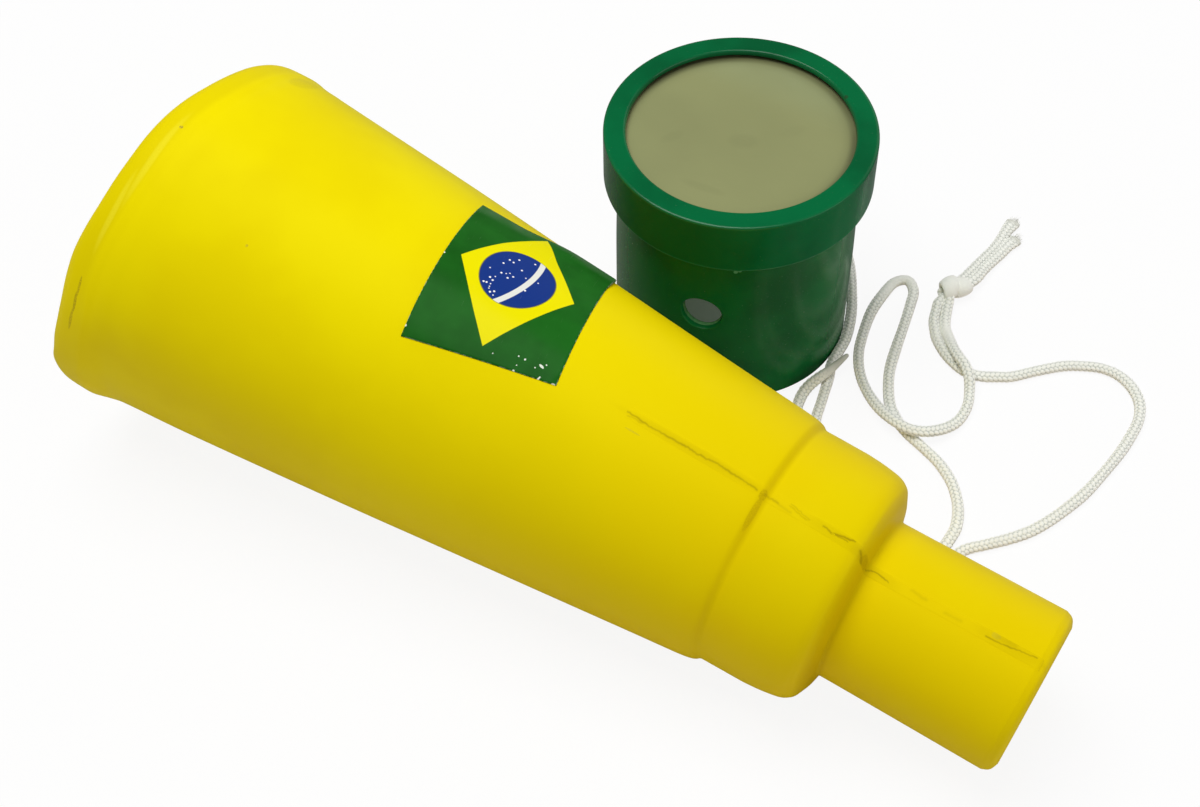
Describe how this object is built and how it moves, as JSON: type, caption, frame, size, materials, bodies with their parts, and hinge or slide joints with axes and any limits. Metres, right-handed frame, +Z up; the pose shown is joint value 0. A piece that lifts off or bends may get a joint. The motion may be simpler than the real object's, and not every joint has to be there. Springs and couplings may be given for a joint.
{
  "type": "stadium horn",
  "caption": "Hand-blown stadium horn: a stepped conical tube with a mouth bell, a separate drum-like sounding head with a membrane and blow hole, and a cord lanyard.",
  "frame": {"origin": "on the floor under the middle of the horn tube and the head together, the lanyard left out", "axes": "+X along the lying horn from its mouth to its tip, +Y towards the side where the head stands, +Z up"},
  "size_m": [0.2738, 0.2265, 0.1068],
  "materials": {
    "horn_plastic": "blow-moulded yellow polyethylene, satin gloss",
    "sticker_vinyl": "glossy printed vinyl, mostly green",
    "head_plastic": "dark green moulded plastic, glossy",
    "cap_plastic": "green moulded plastic, glossy",
    "membrane_film": "olive-grey film, satin",
    "lanyard_cord": "white braided synthetic cord"
  },
  "bodies": {
    "head": {"head_body": "head_plastic", "membrane": "membrane_film", "cord_stub": "lanyard_cord", "stopper_knot": "lanyard_cord", "cord_head_run": "lanyard_cord", "cord_tail_run": "lanyard_cord", "cord_knot": "lanyard_cord", "cord_end_long": "lanyard_cord", "cord_end_short": "lanyard_cord"},
    "horn": {"horn_tube": "horn_plastic", "flag_sticker": "sticker_vinyl"},
    "cap": {"cap_ring": "cap_plastic"}
  },
  "joints": [
    {"name": "horn_lift", "type": "slide", "parent": "head", "child": "horn", "axis": [0, 0, 1], "range_m": [0, 0.1]},
    {"name": "cap_lift", "type": "slide", "parent": "head", "child": "cap", "axis": [0, 0, 1], "range_m": [0, 0.03]}
  ]
}
